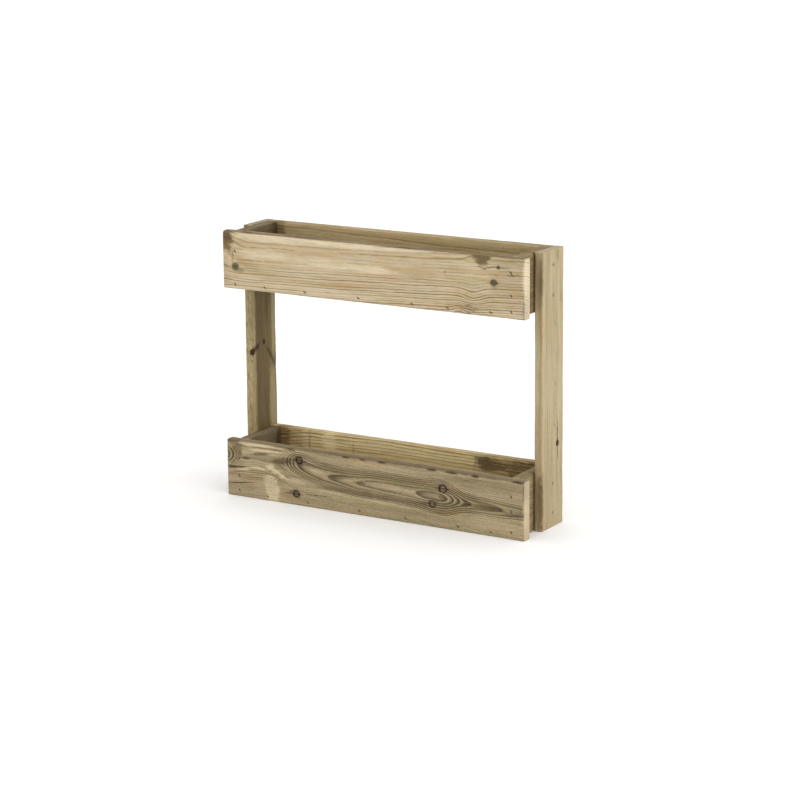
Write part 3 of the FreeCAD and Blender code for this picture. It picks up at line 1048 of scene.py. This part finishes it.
def lay_base(s):
    """The early wood, its green and red tints, and the pale patches, some of them painted light."""
    look = s.look
    tone = s.add(s.grain("tone", 2), s.times(s.centred(s.uneven), 0.6))
    s.colour = s.mix(s.ramp(tone, 0.36, 0.64), linear(*look["light"]), linear(*look["middle"]))
    s.shade(s.ramp(s.outside, 0, 1, s.heart_tone, 1.0))
    s.cover(s.ramp(s.grain("green", 3), 0.5, 0.72, 0, look["green"]), GREEN_TINT, "MULTIPLY")
    s.cover(s.ramp(s.grain("red", 3), 0.5, 0.3, 0, look["red"]), RED_TINT, "MULTIPLY")
    s.pale = s.limited(s.times(s.blot, -1.0))
    s.cover(s.times(s.pale, 0.8), s.pale_colour)


def draw_rings(s):
    """The late wood, fainter on pale and calm places and outside the heartwood, and short streaks."""
    look = s.look
    most = look["contrast"]
    contrast = s.times(s.late, s.ramp(s.pale, 0, 0.8, most, 0.25 * most))
    calm = s.attribute("calm", "Fac")
    contrast = s.times(contrast, s.ramp(calm, 0, 1, 1.0, 0.12), s.ramp(calm, -1, 0, 1.7, 1.0))
    contrast = s.math("MINIMUM", contrast, MOST_CONTRAST)
    contrast = s.times(contrast, s.ramp(s.outside, 0, 1, 1.0, 0.4))
    s.cover(contrast, s.late_colour)
    streak = s.grain("streak", 2, place=s.turned(s.place, STREAK_ANGLE))
    swing = 0.3 * look["streaks"]
    s.shade(s.ramp(streak, 0.3, 0.7, 1 - swing, 1 + swing))


def draw_fibres(s):
    """Uneven shades, fibres, resin canals, brown stains and painted shade, and grime."""
    mottle = s.look["mottle"]
    s.shade(s.ramp(s.grain("shade", 3), 0.3, 0.7, 1 - 0.12 * mottle, 1 + 0.1 * mottle))
    s.fibre = s.grain("fibre", 3, 0.62)
    s.shade(s.ramp(s.fibre, 0.25, 0.75, 1 - 0.14 * mottle, 1 + 0.1 * mottle))
    s.canal = s.ramp(s.grain("canal", 1), 0.66, 0.76)
    s.cover(s.times(s.canal, 0.4), s.late_colour)
    brown = s.limited(s.blot)
    s.cover(s.times(brown, s.ramp(s.fibre, 0.2, 0.8, 1.0, 0.75)), BROWN, "MULTIPLY")
    s.cover(s.ramp(s.grain("grime", 5, 0.6), 0.55, 0.78, 0, 0.6), GRIME, "MULTIPLY")


def draw_lines(s):
    """The look's thin marks, with a slightly shaking hand."""
    ragged = s.centred(s.grain("ragged", 2))
    aside = s.times(s.add(s.ripple, ragged, -0.5), 3.2)
    drawn = s.add_vectors(s.place, s.vector_of(s.times(ragged, 6.0), aside))
    drawn = s.add_vectors(drawn, (0, -s.plank.shift, 0))
    light_lines = [line for line in s.look["lines"] if line[4] < 0]
    dark_lines = [line for line in s.look["lines"] if line[4] > 0]
    if light_lines:
        s.cover(s.strokes(drawn, light_lines), s.pale_colour)
    if dark_lines:
        s.cover(s.strokes(drawn, dark_lines), STROKE, "MULTIPLY")


# Where a plank's colours are darkened as painted shade for its shown face, this lightens its far face again
def lighten_far_face(s):
    thickness = s.plank.thickness
    if s.look["away"] != 1:
        depth = s.parts_of(s.place)[2]
        s.shade(s.ramp(depth, 0.15 * thickness, 0.9 * thickness, 1.0, s.look["away"]))


def draw_knots(s):
    """Each knot: a heart with its own rings, a dark rim, a halo, and whiskers along the grain."""
    knot = s.attribute("knot", "Vector")
    s.rim_tone, core_tone, green_tone = s.parts_of(s.attribute("knot_tone", "Vector"))
    uneven = s.centred(s.noise(s.scaled(knot, 1.4, 1.4, 1), 3))
    reach = s.add(s.length(s.scaled(knot, 1, 1, 0)), s.times(uneven, 0.4))
    rings = s.ramp(s.math("SINE", s.times(reach, 15.0)), -1, 1, 0.84, 1.05)
    heart = s.mix(core_tone, KNOT_PALE, KNOT_CORE)
    heart = s.brighten(s.mix(green_tone, heart, KNOT_GREEN), rings)
    heart = s.brighten(heart, s.ramp(reach, 0.0, 0.8, 0.72, 1.05))
    s.inside = s.ramp(reach, 0.75, 1.15, 1.0, 0.0)
    s.knot_weight = s.math("MAXIMUM", s.rim_tone, core_tone)
    s.cover(s.times(s.inside, s.ramp(s.knot_weight, 0.0, 0.6)), heart)
    s.cover(s.times(s.ramp(reach, 0.9, 2.0, 0.4, 0.0), s.rim_tone), s.late_colour)
    shaken = s.scaled(s.vector_of(uneven), 1.2, 0, 0)
    whisker = s.length(s.add_vectors(s.scaled(knot, 0.42, 3.2, 0), shaken))
    s.cover(s.times(s.ramp(whisker, 0.5, 1.2, 0.6, 0.0), s.rim_tone), KNOT_RIM)
    lopsided = s.ramp(s.noise(s.scaled(knot, 0.55, 0.55, 1), 1), 0.34, 0.58, 0.8, 1.0)
    rim = s.times(s.ramp(reach, 0.42, 0.76), s.ramp(reach, 1.0, 1.25, 1.0, 0.0))
    s.cover(s.times(rim, s.rim_tone, lopsided), KNOT_RIM)


def draw_dirt(s):
    """Bark and dirt, and the stain round each fastener."""
    s.flakes = s.grain("flakes", 4, 0.65)
    broken = s.centred(s.flakes)
    s.bark = s.ramp(s.add(s.attribute("dirt", "Fac"), s.times(broken, 0.8)), 0.1, 0.85)
    bark_colour = s.brighten(BARK, s.ramp(s.flakes, 0.3, 0.7, 0.75, 1.25))
    s.cover(s.times(s.bark, 0.95), bark_colour)
    mark = s.add(s.length(s.attribute("mark", "Vector")), s.times(broken, 0.5))
    s.cover(s.ramp(mark, 0.7, 1.5, 0.7, 0.0), MARK_DARK)


def draw_sawn_ends(s):
    s.sawn = s.attribute("sawn", "Fac")
    s.pores = s.noise(s.scaled(s.place, 0.9, 0.9, 0.9), 4, 0.7)
    end = s.mix(s.times(s.late, 0.5), linear(*s.look["end"]), s.late_colour)
    porous = s.ramp(s.pores, 0.3, 0.7, 0.88, 1.06)
    end = s.brighten(end, s.times(porous, s.ramp(s.blot, -1, 1, 1.13, 0.72)))
    s.cover(s.sawn, end)


def set_surface(s):
    """The colour, duller knots and fibres, and their relief."""
    dull = s.add(s.ramp(s.fibre, 0.2, 0.8, 0.82, 0.66), s.times(s.late, -0.08))
    gloss = s.ramp(s.times(s.inside, s.knot_weight), 0, 1, 0.35, 0.08)
    s.fill(s.surface, {"Base Color": s.colour, "Roughness": dull, "Specular IOR Level": gloss})
    height = s.add(
        s.times(s.late, 0.35),
        s.times(s.fibre, 0.8),
        s.times(s.canal, -0.6),
        s.times(s.inside, s.rim_tone, -0.3),
        s.times(s.bark, s.flakes, 1.5),
        s.times(s.pores, s.sawn, 1.2),
    )
    s.relief(height, 0.7, 0.25)


def wood(plank):
    """Treated pine, in layers from the early wood to the dirt on it."""
    s = Pine(plank)
    find_rings(s)
    lay_base(s)
    draw_rings(s)
    draw_fibres(s)
    draw_lines(s)
    lighten_far_face(s)
    draw_knots(s)
    draw_dirt(s)
    draw_sawn_ends(s)
    set_surface(s)
    return s.material


def galvanised(name, grey, rust):
    """Zinc on steel, dulled and spotted with rust."""
    s = Shader(name)
    place = s.node("TexCoord").outputs["Object"]
    spangle = s.noise(s.scaled(place, 900, 900, 900), 3, 0.6)
    patches = s.noise(s.scaled(place, 330, 330, 330), 3, 0.55)
    rusty = s.ramp(patches, 0.62 - 0.3 * rust, 0.75 - 0.2 * rust)
    zinc = s.brighten(linear(*grey), s.ramp(spangle, 0.3, 0.7, 0.8, 1.15))
    colour = s.mix(s.times(rusty, 0.85), zinc, RUST)
    dull = s.ramp(s.add(spangle, rusty), 0.3, 1.4, 0.34, 0.8)
    metal = s.ramp(rusty, 0, 1, 0.9, 0.1)
    s.fill(s.surface, {"Base Color": colour, "Roughness": dull, "Metallic": metal})
    s.relief(spangle, 0.4, 0.05)
    return s.material


# ---- The planter ----

STAPLE_GREY = (118, 110, 96)
SCREW_GREY = (172, 157, 122)


def dress_planks():
    """A worn plank of wood in place of each plain one."""
    for number, name in enumerate(LOOKS):
        plank = Plank(name, number)
        piece = plank_object(plank)
        cutters, marks = plank_cuts(plank)
        if cutters:
            cut(piece, cutters)
        mesh = piece.data
        mesh.shade_smooth()
        mesh.set_sharp_from_angle(angle=SHARP_ANGLE)
        write_attributes(plank, mesh, marks)
        mesh.materials.clear()
        mesh.materials.append(wood(plank))
        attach(piece, "root")
        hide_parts(name)


def dress_fasteners():
    """A finish for the staples and screws, which keep their CAD shapes."""
    staple_finish = galvanised("staple_steel", STAPLE_GREY, 0.7)
    screw_finish = galvanised("screw_steel", SCREW_GREY, 0.25)
    for name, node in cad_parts.items():
        if "staples" in name or "screws" in name:
            node.data.materials.clear()
            node.data.materials.append(screw_finish if "screws" in name else staple_finish)


# ---- Stage ----

FLOOR_HALF = 30000
FLOOR_FINISH = {"Base Color": (0.93, 0.93, 0.925, 1), "Roughness": 0.9, "Specular IOR Level": 0.1}
WORLD_LIGHT = 1.03
KEY_STRENGTH = 1.1
KEY_FROM = (0.85, -0.45, 0.6)
KEY_SPREAD = math.radians(80)

VIEW_AZIMUTH = math.radians(31.822)
VIEW_ELEVATION = math.radians(11.370)
VIEW_ROLL = math.radians(-0.665)
VIEW_TARGET = Vector((-67.95, 0.0, 419.52))
VIEW_DISTANCE = 5190.98
VIEW_END_M = 100
SENSOR = 36.0
LENS = 115.156
SHIFT = (0.0481, -0.1207)


def build_floor():
    corners = [(x, y, 0) for x, y in ((-1, -1), (1, -1), (1, 1), (-1, 1))]
    floor = mesh_object("floor", np.array(corners) * FLOOR_HALF, [(0, 1, 2, 3)])
    s = Shader("pale_floor")
    s.fill(s.surface, FLOOR_FINISH)
    floor.data.materials.append(s.material)


def build_lights():
    """Even light from all round, and a wide soft light from the right, above and in front."""
    world = bpy.data.worlds.new("studio")
    world.use_nodes = True
    world.node_tree.nodes["Background"].inputs["Color"].default_value = (1, 1, 1, 1)
    world.node_tree.nodes["Background"].inputs["Strength"].default_value = WORLD_LIGHT
    bpy.context.scene.world = world
    key = bpy.data.lights.new("key", "SUN")
    key.energy = KEY_STRENGTH
    key.angle = KEY_SPREAD
    lamp = bpy.data.objects.new("key", key)
    lamp.rotation_euler = Vector(KEY_FROM).to_track_quat("Z", "Y").to_euler()
    bpy.context.scene.collection.objects.link(lamp)


def build_camera():
    """The camera that the photograph was taken with, fitted to the planter's edges in it."""
    flat = math.cos(VIEW_ELEVATION)
    back = Vector((math.sin(VIEW_AZIMUTH) * flat, -math.cos(VIEW_AZIMUTH) * flat, math.sin(VIEW_ELEVATION)))
    right = Vector((math.cos(VIEW_AZIMUTH), math.sin(VIEW_AZIMUTH), 0))
    up = back.cross(right)
    turned_right = right * math.cos(VIEW_ROLL) + up * math.sin(VIEW_ROLL)
    turned_up = up * math.cos(VIEW_ROLL) - right * math.sin(VIEW_ROLL)
    data = bpy.data.cameras.new("camera")
    data.sensor_width = SENSOR
    data.lens = LENS
    data.shift_x, data.shift_y = SHIFT
    data.clip_end = VIEW_END_M
    camera = bpy.data.objects.new("camera", data)
    matrix = Matrix((turned_right, turned_up, back)).transposed().to_4x4()
    matrix.translation = (VIEW_TARGET + back * VIEW_DISTANCE) * MM
    camera.matrix_world = matrix
    bpy.context.scene.collection.objects.link(camera)
    bpy.context.scene.camera = camera


build_floor()
build_lights()
build_camera()
dress_planks()
dress_fasteners()
bpy.context.scene.view_settings.view_transform = "Standard"
